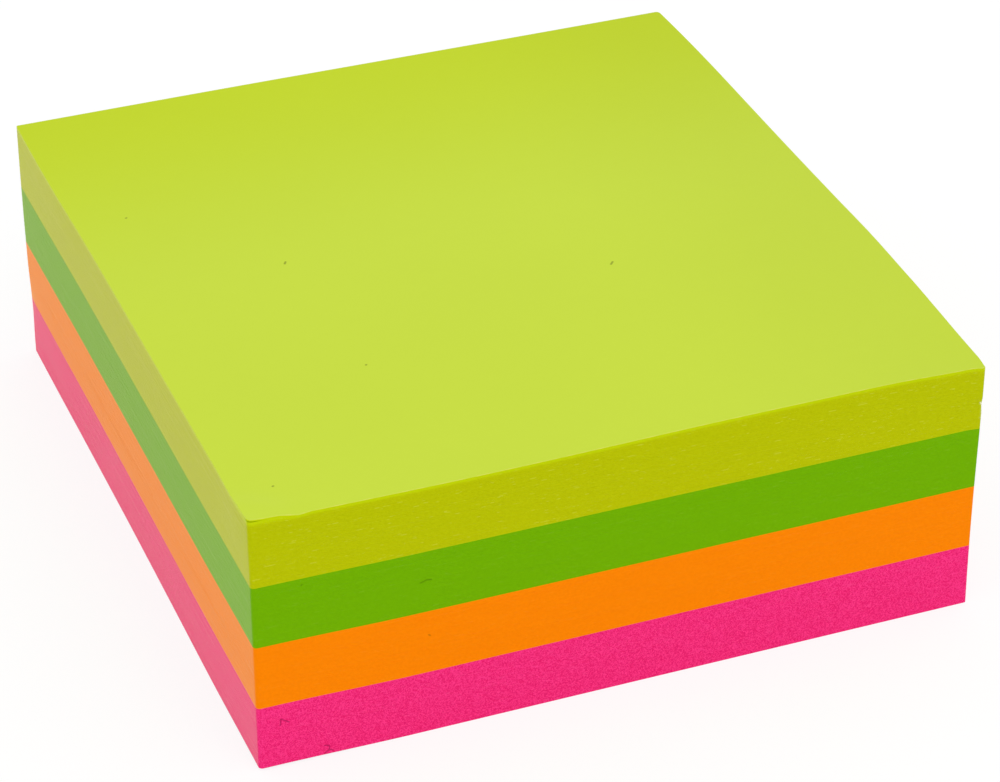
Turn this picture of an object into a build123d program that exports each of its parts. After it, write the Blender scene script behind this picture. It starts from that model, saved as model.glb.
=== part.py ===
from build123d import *
import os

# Sticky note pad: four blocks of coloured note sheets, stacked into one pad.
# Every sheet has a strip of weak adhesive on its underside, along the pad's back edge.
# The sheets are stuck to each other there and lie loose on each other at the front.
#
# Units are millimetres. The origin is the centre of the pad's underside. +X runs along
# the free front edge to the right, +Y runs back to the stuck edge, and +Z is up.

# Driving dimensions
pad_width = 76.0  # along X, measured over the widest place of the bowed right side
pad_depth = 81.5  # along Y, from the free front edge to the stuck back edge
right_side_bow = 0.5  # how far the right side's cut bulges outwards at mid-depth
sheets_per_colour = 80

# Radii of the pad's four upright corners. The cut leaves a corner nearly sharp, and
# handling has rubbed the front left corner and knocked the back right one rounder.
front_left_radius = 0.4
front_right_radius = 0.2
back_right_radius = 0.8
back_left_radius = 0.2

# Height that one sheet takes up in its block, with the little air that lies under it.
# The sheets are listed by colour, from the bottom of the pad to the top.
sheet_pitch = {
    "pink_sheets": 0.0885,
    "orange_sheets": 0.0895,
    "green_sheets": 0.0870,
    "lime_sheets": 0.0930,
}


def sheet_outline():
    """Outline of every sheet: three straight cut sides and a slightly bowed right side."""
    left = -pad_width / 2
    right = pad_width / 2 - right_side_bow
    front = -pad_depth / 2
    back = pad_depth / 2
    sides = [
        Line((left, front), (right, front)),
        ThreePointArc((right, front), (pad_width / 2, 0), (right, back)),
        Line((right, back), (left, back)),
        Line((left, back), (left, front)),
    ]
    outline = make_face(sides)
    corner_radii = {
        (left, front): front_left_radius,
        (right, front): front_right_radius,
        (right, back): back_right_radius,
        (left, back): back_left_radius,
    }
    for corner, radius in corner_radii.items():
        sharp_corner = outline.vertices().sort_by_distance(corner)[0]
        outline = fillet(sharp_corner, radius)
    return outline


def colour_block(outline, thickness, underside):
    """All the sheets of one colour as one solid, with its underside at that height."""
    return Pos(0, 0, underside) * extrude(outline, amount=thickness)


def build_pad():
    """The colour blocks by name, each seated face to face on the one before it."""
    outline = sheet_outline()
    blocks = {}
    height = 0.0
    for name, pitch in sheet_pitch.items():
        thickness = pitch * sheets_per_colour
        blocks[name] = colour_block(outline, thickness, height)
        height += thickness
    print(f"pad: {pad_width} x {pad_depth} x {height:.2f} mm, {len(blocks)} colours")
    return blocks


os.makedirs("parts", exist_ok=True)
for name, block in build_pad().items():
    block.label = name
    export_step(block, f"parts/{name}.step")
    print(f"{name}: {block.volume / 1000:.2f} cm3")
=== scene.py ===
# %% [markdown]
# # A pad of sticky notes
# The pad is 320 loose sheets of note paper in four bright colours, stuck together only by
# a strip of weak adhesive along the back edge. Nothing on it is printed. All that there is
# to see is cut paper: a smooth top sheet, and sides made of hundreds of sheet edges that
# one stroke of a guillotine has left almost, but not quite, flush.
#
# The solid model already holds the pad's real size and the height of each colour. This
# lesson builds the sheets themselves around it.

# %% Load the solid model
import math
import random
from collections import namedtuple

import bmesh
import bpy
from mathutils import Matrix, Vector, noise


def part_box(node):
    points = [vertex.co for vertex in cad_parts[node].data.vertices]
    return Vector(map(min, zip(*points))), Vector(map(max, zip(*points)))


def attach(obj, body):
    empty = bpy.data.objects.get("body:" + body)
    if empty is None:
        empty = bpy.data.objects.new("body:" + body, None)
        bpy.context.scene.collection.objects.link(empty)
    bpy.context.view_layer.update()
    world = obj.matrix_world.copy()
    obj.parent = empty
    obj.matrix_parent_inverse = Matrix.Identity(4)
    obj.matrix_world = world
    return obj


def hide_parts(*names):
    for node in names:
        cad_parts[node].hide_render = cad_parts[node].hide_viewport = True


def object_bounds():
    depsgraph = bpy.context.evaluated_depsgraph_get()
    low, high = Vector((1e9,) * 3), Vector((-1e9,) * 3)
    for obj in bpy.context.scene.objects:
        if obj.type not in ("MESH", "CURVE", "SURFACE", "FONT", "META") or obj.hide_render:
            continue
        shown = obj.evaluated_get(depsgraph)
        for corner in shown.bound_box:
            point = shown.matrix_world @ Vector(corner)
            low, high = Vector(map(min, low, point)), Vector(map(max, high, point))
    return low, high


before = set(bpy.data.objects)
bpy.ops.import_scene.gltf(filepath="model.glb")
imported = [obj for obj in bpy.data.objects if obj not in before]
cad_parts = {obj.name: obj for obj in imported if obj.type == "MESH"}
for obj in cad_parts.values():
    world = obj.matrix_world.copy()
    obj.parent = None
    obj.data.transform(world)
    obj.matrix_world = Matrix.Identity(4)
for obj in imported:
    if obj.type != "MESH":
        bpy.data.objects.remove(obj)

MM = 0.001
solid_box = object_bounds()
low, high = (Vector(corner) for corner in solid_box)
pad = (high - low) / MM
print("solid model, mm:", [round(side, 2) for side in pad])

# %% [markdown]
# ## The camera
# A pad looks right through a long lens from a little way off, because its edges then run
# almost parallel. A lens of about 134 mm at 0.4 m gives that. Turning the camera by
# azimuth, elevation and roll keeps each angle readable, where one matrix of nine numbers
# would not be.

# %% Camera
CAMERA_PLACE = Vector((-116.49, -308.97, 221.71)) * MM
CAMERA_AZIMUTH = math.radians(21.043)  # turned from the back edge towards the right
CAMERA_ELEVATION = math.radians(32.684)  # looking down
CAMERA_ROLL = math.radians(-0.195)

camera_data = bpy.data.cameras.new("camera")
camera_data.sensor_width = 36
camera_data.lens = 133.57
camera_data.clip_start = 10 * MM
camera_data.clip_end = 20
camera = bpy.data.objects.new("camera", camera_data)
camera.matrix_world = (
    Matrix.Translation(CAMERA_PLACE)
    @ Matrix.Rotation(-CAMERA_AZIMUTH, 4, "Z")
    @ Matrix.Rotation(math.pi / 2 - CAMERA_ELEVATION, 4, "X")
    @ Matrix.Rotation(CAMERA_ROLL, 4, "Z")
)
bpy.context.scene.collection.objects.link(camera)
bpy.context.scene.camera = camera
bpy.context.scene.view_settings.view_transform = "Standard"
print("camera distance, mm:", round(CAMERA_PLACE.length / MM))

# %% [markdown]
# ## Writing shader maths as arithmetic
# A material is a graph of nodes, and a graph is hard to read as code. This small class
# wraps one socket and lends it the plus, minus and times signs, so that
# `1 - 0.1 * streak` adds its Math nodes by itself. Every other node comes from `node`.


# %% The shader helper
class Wire:
    """One socket of a material's node tree, which can be used in arithmetic."""

    def __init__(self, tree, socket=None):
        self.tree = tree
        self.socket = socket

    def node(self, kind, settings=None, inputs=None, output=0):
        """Add a node: its settings first, then the values or wires of its sockets."""
        made = self.tree.nodes.new(kind)
        for name, value in (settings or {}).items():
            setattr(made, name, value)
        for name, value in (inputs or {}).items():
            if isinstance(value, Wire):
                self.tree.links.new(value.socket, made.inputs[name])
            else:
                made.inputs[name].default_value = value
        return Wire(self.tree, made.outputs[output])

    def maths(self, operation, *values):
        return self.node("ShaderNodeMath", {"operation": operation}, dict(enumerate(values)))

    def __add__(self, other):
        return self.maths("ADD", self, other)

    def __sub__(self, other):
        return self.maths("SUBTRACT", self, other)

    def __rsub__(self, other):
        return self.maths("SUBTRACT", other, self)

    def __mul__(self, other):
        return self.maths("MULTIPLY", self, other)

    __radd__ = __add__
    __rmul__ = __mul__


def new_finish(name):
    """A material with a Principled shader: (material, wire to start from, shader)."""
    material = bpy.data.materials.new(name)
    material.use_nodes = True
    shader = material.node_tree.nodes["Principled BSDF"]
    return material, Wire(material.node_tree), shader


# %% [markdown]
# A few more tools save typing later. `ramp` turns a value into a soft mask. `vectors` does
# Vector Math, because a Math node would turn a colour or a place into one number. `mixed`
# blends two colours.


# %% Masks, vectors and colours
def ramp(value, start, end):
    """A mask: 0 up to start, 1 from end on, and a soft step between them."""
    settings = {"interpolation_type": "SMOOTHSTEP"}
    return value.node("ShaderNodeMapRange", settings, {0: value, 1: start, 2: end})


def vectors(operation, first, second=(0, 0, 0), output=0):
    settings = {"operation": operation}
    return first.node("ShaderNodeVectorMath", settings, {0: first, 1: second}, output)


def scaled(vector, factor):
    """A colour made brighter, or a vector made longer, by a factor."""
    settings = {"operation": "SCALE"}
    return vector.node("ShaderNodeVectorMath", settings, {0: vector, 3: factor})


def mixed(factor, first, second):
    """The first colour turning into the second one as factor goes from 0 to 1."""
    ends = [(*end, 1) if isinstance(end, tuple) else end for end in (first, second)]
    inputs = {0: factor, 6: ends[0], 7: ends[1]}
    return factor.node("ShaderNodeMix", {"data_type": "RGBA"}, inputs, 2)


def speckle(place, size, detail=2.0, dimensions="3D"):
    """Noise around 0.5 whose spots are about size across, in the units of place."""
    inputs = {"Vector": place, "Scale": 1 / size, "Detail": detail}
    return place.node("ShaderNodeTexNoise", {"noise_dimensions": dimensions}, inputs)


def connect(wire, shader, socket_name):
    wire.tree.links.new(wire.socket, shader.inputs[socket_name])


# %% [markdown]
# ## Light and floor
# The pad lies on a white sweep in soft light from everywhere, so no side of it is dark and
# its shadow is faint. A white world of strength 1 does nearly all of it: in such a light a
# colour renders about as it is written. One large soft lamp, high at the front left, makes
# the top and the front a little brighter than the rest.

# %% World and lamp
world = bpy.data.worlds.new("studio")
bpy.context.scene.world = world
world.use_nodes = True
surroundings = world.node_tree.nodes["Background"]
surroundings.inputs["Color"].default_value = (1, 1, 1, 1)
surroundings.inputs["Strength"].default_value = 1.0

lamp_data = bpy.data.lights.new("soft_box", "AREA")
lamp_data.shape = "DISK"
lamp_data.size = 0.5
lamp_data.energy = 0.75
lamp = bpy.data.objects.new("soft_box", lamp_data)
lamp.location = (0.02, -0.49, 0.60)
lamp.rotation_euler = (-lamp.location).to_track_quat("-Z", "Y").to_euler()
bpy.context.scene.collection.objects.link(lamp)
print("lamp distance, m:", round(lamp.location.length, 2))

# %% [markdown]
# The floor has to look white without throwing extra light on the pad. So its paint is a
# plain pale grey to every ray except the camera's, which sees it white. A share of the
# floor also glows white to the camera and in reflections. The rest still takes the pad's
# shadow.

# %% Floor
FLOOR_PALE = 0.80
FLOOR_GLOW = 0.82
FLOOR_GAP = 0.02 * MM

bm = bmesh.new()
bmesh.ops.create_circle(bm, cap_ends=True, segments=64, radius=3.0)
bmesh.ops.translate(bm, vec=(0, 0, low.z - FLOOR_GAP), verts=bm.verts)
floor_mesh = bpy.data.meshes.new("floor")
bm.to_mesh(floor_mesh)
bm.free()
floor = bpy.data.objects.new("floor", floor_mesh)
bpy.context.scene.collection.objects.link(floor)

floor_finish, start, shader = new_finish("white_sweep")
shader.inputs["Roughness"].default_value = 1.0
shader.inputs["Specular IOR Level"].default_value = 0.0
ray_kinds = start.node("ShaderNodeLightPath").socket.node.outputs
seen = Wire(start.tree, ray_kinds["Is Camera Ray"])
mirrored = Wire(start.tree, ray_kinds["Is Glossy Ray"])
connect(mixed(seen, (FLOOR_PALE, FLOOR_PALE, FLOOR_PALE), (1.0, 1.0, 1.0)), shader, "Base Color")
glow = start.node("ShaderNodeEmission", None, {"Color": (1, 1, 1, 1), "Strength": 1.0})
glow_share = FLOOR_GLOW * seen.maths("MAXIMUM", seen, mirrored)
painted = Wire(start.tree, shader.outputs[0])
blend = start.node("ShaderNodeMixShader", None, {0: glow_share, 1: painted, 2: glow})
start.tree.links.new(blend.socket, start.tree.nodes["Material Output"].inputs["Surface"])
floor_mesh.materials.append(floor_finish)
print("floor nodes:", len(start.tree.nodes))

# %% [markdown]
# ## How the stack has settled
# A stack of loose paper is never a perfect block. Each mark of handling is written down as
# one soft push: where its middle is, how far it reaches, and which way it moves the paper.
# Places are given as shares of the pad, from 0 at the left, front and bottom to 1 at the
# right, back and top. Reaches and pushes are in millimetres.
#
# The pushes could be sculpted by hand instead, but as a list they stay readable, and all
# four colours follow the same list, so the blocks still meet without a gap.

# %% The marks of handling
Push = namedtuple("Push", "across back up reach height move")

PUSHES = [
    Push(0.00, 0.00, 0.28, 16.0, 22.0, (0, 0, 0.27)),  # the whole front left corner has risen
    Push(0.31, 0.00, 1.00, 26.0, 9.0, (0, 0, -0.22)),  # the front edge of the top sags
    Push(0.06, 0.00, 1.00, 1.6, 1.2, (0, -0.05, -0.12)),  # a crease ends the curled corner
    Push(0.994, 0.00, 1.00, 11.0, 7.0, (0, 0, -0.32)),  # the front right corner is pressed down
    Push(0.994, 0.00, 1.00, 1.6, 16.0, (0, 0, -0.20)),  # most of all at its tip
    Push(0.994, 0.00, 0.28, 14.0, 20.0, (-0.22, 0, 0)),  # and pushed in below
    Push(0.994, 0.00, 0.84, 1.0, 1.0, (-0.06, 0.03, 0)),  # with a small chip
    Push(1.00, 1.00, 1.00, 60.0, 12.0, (0, 0, -0.19)),  # the back right of the top sags
    Push(1.00, 0.90, 1.00, 22.0, 14.0, (0.26, 0, 0)),  # and spreads a little
    Push(1.00, 0.52, 1.00, 14.0, 8.0, (-0.07, 0, 0)),  # the right side of the top waves: in,
    Push(1.00, 0.32, 1.00, 8.0, 8.0, (0.08, 0, 0)),  # out,
    Push(1.00, 0.11, 1.00, 8.0, 8.0, (-0.12, 0, 0)),  # and in again
    Push(0.00, 0.83, 1.00, 16.0, 8.0, (-0.12, 0, 0)),  # the left side bulges near the back
    Push(0.00, 0.05, 1.00, 6.0, 8.0, (-0.08, 0, 0)),  # and a little near the front
    Push(0.00, 1.00, 0.70, 26.0, 20.0, (-0.15, 0, 0)),  # the back left edge leans out
    Push(0.00, 0.55, 0.00, 34.0, 10.0, (0.10, 0, 0)),  # the left foot is drawn in
    Push(0.00, 1.00, 0.22, 2.2, 5.0, (0.04, -0.25, 0)),  # and its back end has been knocked
]


def hill(distance, reach):
    """1 in the middle, falling smoothly to 0 at reach."""
    return max(0.0, 1 - (distance / reach) ** 2) ** 2


def settled(point):
    """Where a point of the perfect block lies in the real, handled stack."""
    moved = Vector(point)
    x, y, z = (point - low) / MM
    for push in PUSHES:
        distance = math.hypot(x - push.across * pad.x, y - push.back * pad.y)
        strength = hill(distance, push.reach) * hill(z - push.up * pad.z, push.height)
        moved += Vector(push.move) * strength * MM
    return moved


tip = settled(Vector((low.x, low.y, low.z + 0.25 * pad.z * MM)))
print("front left corner has risen, mm:", round((tip.z - low.z) / MM - 0.25 * pad.z, 2))

# %% [markdown]
# ## One sheet
# A sheet starts as a grid, not as a single face, because the top sheet has to bend at its
# corners. The grid's lines are drawn together towards the edges, where the bends are. Each
# corner is beveled to its own radius, and the right side is bowed.

# %% The sheet grid
GRID_X, GRID_Y = 42, 42
RIGHT_BOW = 0.5  # mm
CORNER_RADII = {(0, 0): 0.4, (1, 0): 0.2, (1, 1): 0.8, (0, 1): 0.2}  # mm
CROWDING = 0.74


def crowd_to_ends(share):
    """Even steps from 0 to 1, made about four times finer at both ends."""
    return share - CROWDING * math.sin(math.tau * share) / math.tau


def add_sheet(bm):
    """A flat sheet of the pad's outline at height 0, as a grid of faces."""
    made = bmesh.ops.create_grid(bm, x_segments=GRID_X, y_segments=GRID_Y, size=0.5)
    for vert in made["verts"]:
        across = crowd_to_ends(vert.co.x + 0.5)
        back = crowd_to_ends(vert.co.y + 0.5)
        width = pad.x - RIGHT_BOW * (2 * back - 1) ** 2
        vert.co = (low.x + width * across * MM, low.y + pad.y * back * MM, 0)
    for (across, back), radius in CORNER_RADII.items():
        corner = Vector((
            low.x + (pad.x - RIGHT_BOW) * across * MM, low.y + pad.y * back * MM, 0,
        ))
        sharp = min(bm.verts, key=lambda vert: (vert.co - corner).length)
        bmesh.ops.bevel(
            bm, geom=[sharp], offset=radius * MM, offset_type="OFFSET", affect="VERTICES",
            segments=4, profile=0.5, material=-1,
        )


# %% [markdown]
# ## The outline
# The sides are grown from the sheet's outline, and their finish has to know how far along
# the edge each point lies. So the outline is walked once, anticlockwise from the front left
# corner. Every point gets its place, the direction that faces away from the pad, and its
# distance from the start.


# %% Walking round the outline
def outline_of(bm):
    """The points of the sheet's outline, in order from the front left corner."""
    rim = [vert for vert in bm.verts if vert.is_boundary]
    first = min(rim, key=lambda vert: vert.co.x + vert.co.y)
    sides = [edge for edge in first.link_edges if edge.is_boundary]
    edge = max(sides, key=lambda side: side.other_vert(first).co.x)
    points = [first]
    while edge.other_vert(points[-1]) != first:
        points.append(edge.other_vert(points[-1]))
        edge = next(
            side for side in points[-1].link_edges if side.is_boundary and side != edge
        )
    return points


sample = bmesh.new()
add_sheet(sample)
homes = [vert.co.copy() for vert in outline_of(sample)]
sample.free()
after = homes[1:] + homes[:1]
before = homes[-1:] + homes[:-1]
runs = [(following - previous).normalized() for following, previous in zip(after, before)]
outwards = [Vector((run.y, -run.x, 0)) for run in runs]
along = [0.0]
for here, following in zip(homes, after):
    along.append(along[-1] + (following - here).length / MM)
around = along.pop()
print("outline:", len(homes), "points,", round(around, 1), "mm round")

# %% [markdown]
# ## The edge of one sheet in the stack
# Every sheet gets a small shift of its own and a long shallow wave, about a hundredth of a
# millimetre, from a seeded random source. That is what makes a cut side catch the light in
# fine broken lines. Between two sheets the skin dips into a shallow groove.
#
# At the front left corner the topmost sheets have curled up. They stand a little open, and
# a thin dark gap shows under the very top one. `CURL_STEP` says by how much each of them is
# lifted above the sheet below it.

# %% Shifts, waves and the open corner
SHEETS = 80
EDGE_SHARE = 0.84  # of the pitch is a sheet's own edge, the rest is groove
GROOVE = 0.014 * MM
SHIFT = 0.003 * MM
WAVE = 0.006 * MM
WAVE_LENGTH = 9 * MM
CURL_REACH = 4.8
CURL_STEP = 0.055
CURLED_SHEETS = 5
GAP_REACH = 1.5
GAP = 0.12
GAP_DEPTH = 0.5 * MM

EdgeRing = namedtuple("EdgeRing", "sheet height inset gap")


def edge_rings():
    """The rings that one block's side is grown through, from the bottom to the top."""
    rings = []
    for sheet in range(SHEETS):
        below_top_sheet = sheet == SHEETS - 2
        rings.append(EdgeRing(sheet, float(sheet), 0.0, 0.0))
        rings.append(EdgeRing(sheet, sheet + EDGE_SHARE, 0.0, 0.0))
        rings.append(EdgeRing(sheet, sheet + (1 + EDGE_SHARE) / 2, GROOVE, below_top_sheet))
    rings[-1] = EdgeRing(SHEETS - 1, float(SHEETS), 0.0, 0.0)
    return rings


def curl(home, height):
    """How far the curled corner lifts a point, by its place and its height in sheets."""
    distance = math.hypot(home.x - low.x, home.y - low.y) / MM
    plateau = max(0.0, 1 - (distance / CURL_REACH) ** 4)
    steps = min(max(height - (SHEETS - CURLED_SHEETS), 0.0), CURLED_SHEETS)
    lift = CURL_STEP * steps * plateau
    if height > SHEETS - 1.01:
        lift += GAP * hill(distance, GAP_REACH)
    return Vector((0, 0, lift * MM))


print("rings on each side:", len(edge_rings()))

# %% [markdown]
# ## A block of sheets
# Eighty separate slabs would be eighty closed boxes with all their hidden faces. A block
# is better made as one skin. The bottom sheet's outline is extruded upwards again and
# again: up one sheet's edge, in to a groove, out to the next sheet. A copy of the bottom
# sheet closes the top, and `remove_doubles` joins it to the last outline.
#
# Two layers on the points remember where each one belongs: its number on the outline, and
# its height counted in sheets. Both are needed again for the finish.


# %% Growing the sides
def number_outline(bm):
    """Give each point its outline number (-1 off the outline) and height 0."""
    number = bm.verts.layers.int.new("number")
    bm.verts.layers.float.new("height")
    for vert in bm.verts:
        vert[number] = -1
    for count, vert in enumerate(outline_of(bm)):
        vert[number] = count
    return number


def grow_side(bm, rim, ring, edge_place):
    """Extrude the rim by one ring and put the new points in place: the new rim."""
    number = bm.verts.layers.int["number"]
    height = bm.verts.layers.float["height"]
    grown = bmesh.ops.extrude_edge_only(bm, edges=rim)["geom"]
    fresh = {part for part in grown if isinstance(part, bmesh.types.BMVert)}
    for vert in fresh:
        vert.co = edge_place(vert[number], ring)
        vert[height] = ring.height
    edges = [part for part in grown if isinstance(part, bmesh.types.BMEdge)]
    return [edge for edge in edges if fresh.issuperset(edge.verts)]


# %% [markdown]
# The UV map of a block belongs to its finish. On the sides it holds the distance along the
# edge in millimetres and the height in sheets. On the flat faces it holds the place on the
# sheet, in millimetres. Where the outline comes back to its start, the distance is carried
# on past the full round, or one column of faces would squeeze the whole pattern.

# %% The map for the finish
UV_NAME = "sheet_edges"
FACE_FINISH = 1


def map_sheets(bm):
    number = bm.verts.layers.int["number"]
    height = bm.verts.layers.float["height"]
    sheet_map = bm.loops.layers.uv.new(UV_NAME)
    for face in bm.faces:
        flat = max(vert[height] for vert in face.verts) == min(vert[height] for vert in face.verts)
        face.smooth = True
        face.material_index = FACE_FINISH if flat else 0
        for loop in face.loops:
            place = loop.vert.co / MM
            if not flat:
                place = (along[loop.vert[number]], loop.vert[height])
            loop[sheet_map].uv = place[:2]
        if not flat and max(loop[sheet_map].uv.x for loop in face.loops) > around * 0.9:
            for loop in face.loops:
                if loop[sheet_map].uv.x < around * 0.1:
                    loop[sheet_map].uv.x += around
    for edge in bm.edges:
        edge.smooth = edge.calc_face_angle(0) < math.radians(35)


# %% [markdown]
# Now the whole block, in the place of its node of the solid model.


# %% The block builder
def build_block(name, node, seed, curled):
    """The sheets of one colour as one closed skin."""
    node_low, node_high = (Vector(corner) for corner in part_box(node))
    pitch = (node_high.z - node_low.z) / SHEETS
    draw = random.Random(seed)
    shifts = [Vector((draw.gauss(0, SHIFT), draw.gauss(0, SHIFT), 0)) for _ in range(SHEETS)]

    def stacked(home, height):
        """A point of the flat sheet at its height in this block, settled and curled."""
        spot = settled(Vector((home.x, home.y, node_low.z + pitch * height)))
        return spot + curl(home, height) if curled else spot

    def edge_place(count, ring):
        home = homes[count]
        ripple = noise.noise(Vector((home.x, home.y, 0)) / WAVE_LENGTH + Vector((0, 0, 1.7 * ring.sheet + seed)))
        out = ripple * WAVE - ring.inset
        if curled and ring.gap:
            out -= GAP_DEPTH * hill((home - homes[0]).length / MM, GAP_REACH)
        return stacked(home, ring.height) + outwards[count] * out + shifts[ring.sheet]

    bm = bmesh.new()
    add_sheet(bm)
    number = number_outline(bm)
    height = bm.verts.layers.float["height"]
    lid = bmesh.ops.duplicate(bm, geom=bm.verts[:] + bm.edges[:] + bm.faces[:])["geom"]
    lid_verts = {part for part in lid if isinstance(part, bmesh.types.BMVert)}
    for vert in lid_verts:
        vert[height] = SHEETS
    rings = edge_rings()
    for vert in bm.verts:
        if vert[number] < 0:
            vert.co = stacked(vert.co.copy(), vert[height])
        else:
            vert.co = edge_place(vert[number], rings[-1] if vert in lid_verts else rings[0])
    rim = [edge for edge in bm.edges if edge.is_boundary and edge.verts[0] not in lid_verts]
    for ring in rings[1:]:
        rim = grow_side(bm, rim, ring, edge_place)
    joined = {vert for edge in rim for vert in edge.verts}
    joined |= {vert for vert in lid_verts if vert[number] >= 0}
    bmesh.ops.remove_doubles(bm, verts=list(joined), dist=0.001 * MM)
    bmesh.ops.recalc_face_normals(bm, faces=bm.faces)
    map_sheets(bm)

    open_edges = sum(1 for edge in bm.edges if len(edge.link_faces) != 2)
    mesh = bpy.data.meshes.new(name)
    bm.to_mesh(mesh)
    bm.free()
    block = bpy.data.objects.new(name, mesh)
    bpy.context.scene.collection.objects.link(block)
    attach(block, "root")
    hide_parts(node)
    triangles = sum(len(face.vertices) - 2 for face in mesh.polygons)
    print(f"{name}: {triangles} triangles, {open_edges} open edges")
    return block


# %% [markdown]
# ## Paper
# Fluorescent note paper is dyed all through, so its cut edges are as bright as its faces.
# Seen face on it has no gloss at all, and at a glancing angle it turns pale. An index of
# refraction close to 1 does both: it reflects next to nothing straight back, and a good
# tenth of the light at a glancing angle. A little sheen adds the fuzz of the fibres.

# %% The plain paper
PAPER_IOR = 1.07
PAPER_ROUGHNESS = 0.30
PAPER_SHEEN = 0.55
SHEEN_TINT = (1.0, 0.94, 0.58, 1)


def paper(name):
    """The shader that all the paper shares: (material, place in mm, shader)."""
    material, start, shader = new_finish(name)
    shader.inputs["Roughness"].default_value = PAPER_ROUGHNESS
    shader.inputs["IOR"].default_value = PAPER_IOR
    shader.inputs["Sheen Weight"].default_value = PAPER_SHEEN
    shader.inputs["Sheen Roughness"].default_value = PAPER_ROUGHNESS
    shader.inputs["Sheen Tint"].default_value = SHEEN_TINT
    coordinates = start.node("ShaderNodeTexCoord").socket.node.outputs
    place = scaled(Wire(start.tree, coordinates["Object"]), 1 / MM)
    return material, place, shader


def raise_grain(height, shader, distance):
    """Feed a height, in units of distance, to the shader as bump."""
    inputs = {"Strength": 1.0, "Distance": distance, "Height": height}
    connect(height.node("ShaderNodeBump", None, inputs), shader, "Normal")


# %% [markdown]
# ## Small marks
# The pad has a few marks that chance has put there: dark specks pressed into the paper, a
# fibre, and nicks in the pink edge, whose shade is painted dark. Each one is a short stroke
# from one point to another. Its mask comes from the distance to that stroke, and several
# strokes are joined with `MAXIMUM`.


# %% Strokes
CORNER = low / MM  # the bottom front left corner, which the marks are measured from


def stroke(place, start, end, half_width):
    """A mask that is 1 on the line from start to end and 0 beyond its half width."""
    run = Vector(end) - Vector(start)
    offset = vectors("SUBTRACT", place, tuple(start))
    share = vectors("DOT_PRODUCT", offset, tuple(run / run.length_squared), output=1)
    share = share.maths("MINIMUM", share.maths("MAXIMUM", share, 0.0), 1.0)
    settings = {"operation": "SCALE"}
    nearest = share.node("ShaderNodeVectorMath", settings, {0: tuple(run), 3: share})
    distance = vectors("DISTANCE", offset, nearest, output=1)
    return 1 - ramp(distance, 0.3 * half_width, 1.3 * half_width)


def strokes(place, lines, half_width):
    """One mask for several lines, each a list of points measured from CORNER in mm."""
    mask = None
    for line in lines:
        points = [CORNER + Vector(point) for point in line]
        for start, end in zip(points, points[1:]):
            one = stroke(place, start, end, half_width)
            mask = one if mask is None else mask.maths("MAXIMUM", mask, one)
    return mask


# %% [markdown]
# ## The cut edges
# A cut side is built up in four layers, each a mask that blends in one more colour:
#
# 1. a fine grain between a darker and a lighter shade of the dye, which is strong in the
#    pink paper and hardly there in the others;
# 2. short pale dashes, a painted highlight where one sheet stands proud and catches the
#    light, drawn in the map of the sheets so that they run along the edge, however the side
#    bends;
# 3. a brighter tone in the topmost sheets, a painted highlight where they catch more light;
# 4. the small marks: dark specks and a fibre, and painted shade in the nicks of the pink edge.

# %% Finish of the cut edges
# dark and light are the dye's own grain; the third colour and its share are the painted highlight on proud
# sheets
Dye = namedtuple("Dye", "dark light dash dash_share grain_size")


def sheet_axes(place):
    """Distance along the edge in mm, and height in sheets, from the block's own map."""
    sheet_map = place.node("ShaderNodeUVMap", {"uv_map": UV_NAME})
    split = place.node("ShaderNodeSeparateXYZ", None, {0: sheet_map}).socket.node.outputs
    return Wire(place.tree, split[0]), Wire(place.tree, split[1])


def cut_edges(name, dye, glow=None, chip=None, marks=()):
    material, place, shader = paper(name)
    distance, height = sheet_axes(place)
    sheet = height.maths("FLOOR", height)

    grain = speckle(place, dye.grain_size, 3.0)
    colour = mixed(ramp(grain, 0.36, 0.64), dye.dark, dye.light)

    # painted highlight: short pale dashes where one sheet stands proud and catches the light
    line_place = place.node("ShaderNodeCombineXYZ", None, {0: distance, 1: sheet * 3.7})
    line = speckle(line_place, 1.1, 1.0, "2D")
    patch = speckle(line_place, 14.0, 0.0, "2D")
    dash = ramp(line, 0.68, 0.76) * ramp(patch, 0.35, 0.60)
    colour = mixed(dye.dash_share * dash, colour, dye.dash)

    # painted highlight: the topmost sheets get a brighter colour for the light they catch
    if glow:
        colour = mixed(ramp(height, TOP_HIGHLIGHT_START, TOP_HIGHLIGHT_FULL), colour, glow)
    if chip:
        ragged = ramp(speckle(place, 0.18, 2.0), 0.40, 0.55)
        colour = mixed(ragged * strokes(place, CHIP_LINES, 0.16), colour, chip)
    # dark marks: real specks and a fibre, and on the pink edge painted shade in its nicks
    if marks:
        colour = mixed(MARK_STRENGTH * strokes(place, marks, 0.09), colour, tuple(0.35 * c for c in dye.dark))
    tone = place.node("ShaderNodeTexWhiteNoise", {"noise_dimensions": "1D"}, {"W": sheet})
    connect(scaled(colour, 1 + 0.012 * (tone - 0.5)), shader, "Base Color")
    connect(PAPER_ROUGHNESS + 0.1 * (grain - 0.5), shader, "Roughness")
    raise_grain(grain + 0.6 * line, shader, 0.006 * MM)
    return material


# %% [markdown]
# The marks themselves, in millimetres from the bottom front left corner.

# %% Marks on the cut edges
MARK_STRENGTH = 0.55
# heights in sheets where the painted highlight on the topmost lime sheets starts and is full
TOP_HIGHLIGHT_START = 74.5  # sheets
TOP_HIGHLIGHT_FULL = 78.5
CHIP_LINES = [[(75.2, 0.0, 24.1), (75.5, 0.1, 23.7), (75.3, 0.1, 22.4)]]
GREEN_MARKS = [
    [(4.85, 0, 20.50), (4.95, 0, 20.60)],  # a speck
    [(16.6, 0, 17.72), (17.25, 0, 17.93), (17.7, 0, 17.85)],  # a fibre
]
ORANGE_MARKS = [[(17.35, 0, 11.50), (17.50, 0, 11.35)]]
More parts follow.
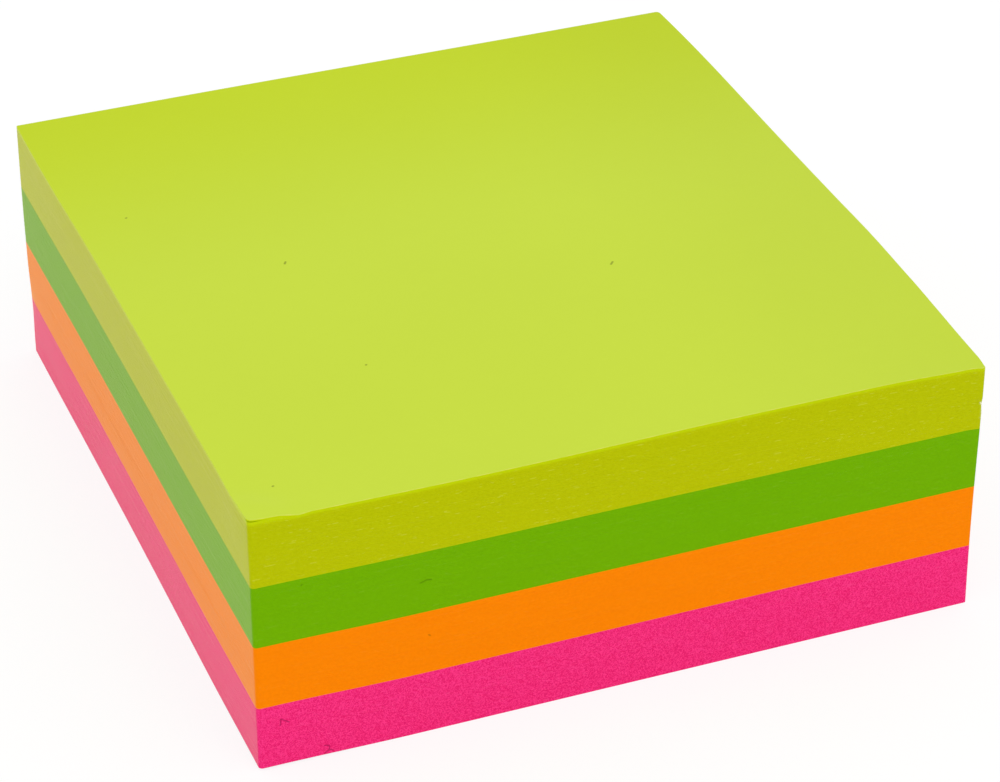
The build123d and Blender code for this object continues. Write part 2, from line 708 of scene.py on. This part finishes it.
# the pink strokes are painted shade inside nicks of the edge
PINK_NICK_SHADES = [
    [(2.25, 0, 4.90), (2.32, 0, 5.60), (3.10, 0, 5.05)],  # a nick like a hook
    [(6.60, 0, 1.22), (7.05, 0, 1.09), (7.05, 0, 0.63), (6.60, 0, 0.31)],  # and another
    [(7.05, 0, 0.63), (7.40, 0, 0.45)],
]

# %% [markdown]
# ## The flat faces
# A sheet's face is smooth. Its colour is painted a little darker towards the back and
# towards the right, painted shade for light that falls from the front left, with faint
# clouds where the pulp lies thicker. Along the front edge a hair's breadth of pale painted
# highlight stands for the light caught by the cut edge. A few specks are pressed into the
# top sheet.
#
# The underside of the bottom sheet is also where the adhesive strip shows: a band along
# the back edge, a shade duller and a little glossier than the bare paper.

# %% Finish of the flat faces
CLOUD = 24.0  # mm
RIM_HIGHLIGHT_WIDTH = 0.16
ADHESIVE_WIDTH = 18.0


def flat_faces(name, front, back, rim_highlight=None, marks=(), adhesive=None):
    material, place, shader = paper(name)
    split = place.node("ShaderNodeSeparateXYZ", None, {0: place}).socket.node.outputs
    across = Wire(place.tree, split[0])
    depth = Wire(place.tree, split[1]) - CORNER.y
    tooth = speckle(place, 0.22, 3.0)
    clouds = speckle(place, CLOUD, 3.0) + 0.35 * speckle(place, 1.6, 2.0)

    # painted shade: the colour turns darker from the front to the back, as the light falls from the front
    colour = mixed(ramp(depth, 0.5 * pad.y, 1.04 * pad.y), front, back)
    # painted highlight: a pale line along the front edge, where the cut edge of the top sheet catches the light
    if rim_highlight:
        along_edge = speckle(place.node("ShaderNodeCombineXYZ", None, {0: across}), 1.3, 2.0)
        near_edge = 1 - ramp(depth, 0.3 * RIM_HIGHLIGHT_WIDTH, RIM_HIGHLIGHT_WIDTH)
        colour = mixed(near_edge * ramp(along_edge, 0.30, 0.70), colour, rim_highlight)
    if marks:
        colour = mixed(0.9 * strokes(place, marks, 0.13), colour, tuple(0.45 * c for c in front))
    roughness = PAPER_ROUGHNESS + 0.1 * (tooth - 0.5)
    if adhesive:
        wobble = speckle(place, 2.5, 2.0) - 0.5
        strip = ramp(depth + 0.5 * wobble, pad.y - ADHESIVE_WIDTH, pad.y - ADHESIVE_WIDTH + 0.3)
        colour = mixed(strip * 0.8, colour, adhesive)
        roughness = roughness - 0.12 * strip
    # clouds and tooth are the paper's own; the term in across is painted shade, darker from 5 mm to 38 mm
    # towards the right
    clouds_and_painted_shade = 1 + 0.035 * (clouds - 0.67) + 0.02 * (tooth - 0.5) - 0.045 * ramp(across, 5, 38)
    connect(scaled(colour, clouds_and_painted_shade), shader, "Base Color")
    connect(roughness, shader, "Roughness")
    raise_grain(tooth, shader, 0.004 * MM)
    return material


# %% Marks on the top sheet
TOP = pad.z
TOP_SPECKS = [
    [(5.35, 57.85, TOP), (5.42, 57.90, TOP)],
    [(17.80, 43.00, TOP), (18.00, 43.35, TOP)],
    [(19.10, 21.80, TOP), (19.15, 21.85, TOP)],
    [(4.05, 5.10, TOP), (4.12, 5.15, TOP)],
    [(48.70, 30.80, TOP), (49.05, 31.20, TOP)],
]

# %% [markdown]
# ## The four blocks
# From the bottom up: pink, orange, green and lime. Each has its own seed, so no two blocks
# repeat the same waves. Only the lime block has the curled corner.

# %% Pink
PINK = Dye((0.81, 0.010, 0.15), (1.0, 0.048, 0.275), (1.0, 0.12, 0.36), 0.2, 0.10)
pink = build_block("pink_notes", "pink_sheets", 11, curled=False)
pink.data.materials.append(cut_edges("pink_edges", PINK, marks=PINK_NICK_SHADES))
# the pink face's back colour is a little darker: painted shade
pink.data.materials.append(
    flat_faces("pink_face", (0.92, 0.028, 0.21), (0.90, 0.026, 0.20), adhesive=(0.80, 0.035, 0.19))
)

# %% Orange
ORANGE = Dye((0.955, 0.242, 0.0), (0.985, 0.256, 0.0), (1.0, 0.36, 0.03), 0.15, 0.3)
orange = build_block("orange_notes", "orange_sheets", 23, curled=False)
orange.data.materials.append(cut_edges("orange_edges", ORANGE, marks=ORANGE_MARKS))
orange.data.materials.append(flat_faces("orange_face", (0.97, 0.249, 0.0), (0.97, 0.249, 0.0)))

# %% Green
GREEN = Dye((0.164, 0.434, 0.0), (0.174, 0.452, 0.0), (0.30, 0.55, 0.04), 0.2, 0.3)
green = build_block("green_notes", "green_sheets", 37, curled=False)
green.data.materials.append(cut_edges("green_edges", GREEN, marks=GREEN_MARKS))
green.data.materials.append(flat_faces("green_face", (0.169, 0.443, 0.0), (0.169, 0.443, 0.0)))

# %% Lime
LIME = Dye((0.478, 0.530, 0.0), (0.498, 0.552, 0.001), (0.62, 0.66, 0.05), 0.5, 0.3)
# the colour of the painted highlight on the topmost lime sheets
LIME_TOP_HIGHLIGHT = (0.54, 0.655, 0.001)
PALE_FIBRE = (0.80, 0.80, 0.50)
lime = build_block("lime_notes", "lime_sheets", 53, curled=True)
lime.data.materials.append(cut_edges("lime_edges", LIME, glow=LIME_TOP_HIGHLIGHT, chip=PALE_FIBRE))
# the lime top's back colour is darker than its front: painted shade
lime.data.materials.append(
    flat_faces(
        "lime_face", (0.527, 0.662, 0.048), (0.497, 0.620, 0.014),
        rim_highlight=(0.66, 0.68, 0.12), marks=TOP_SPECKS,
    )
)
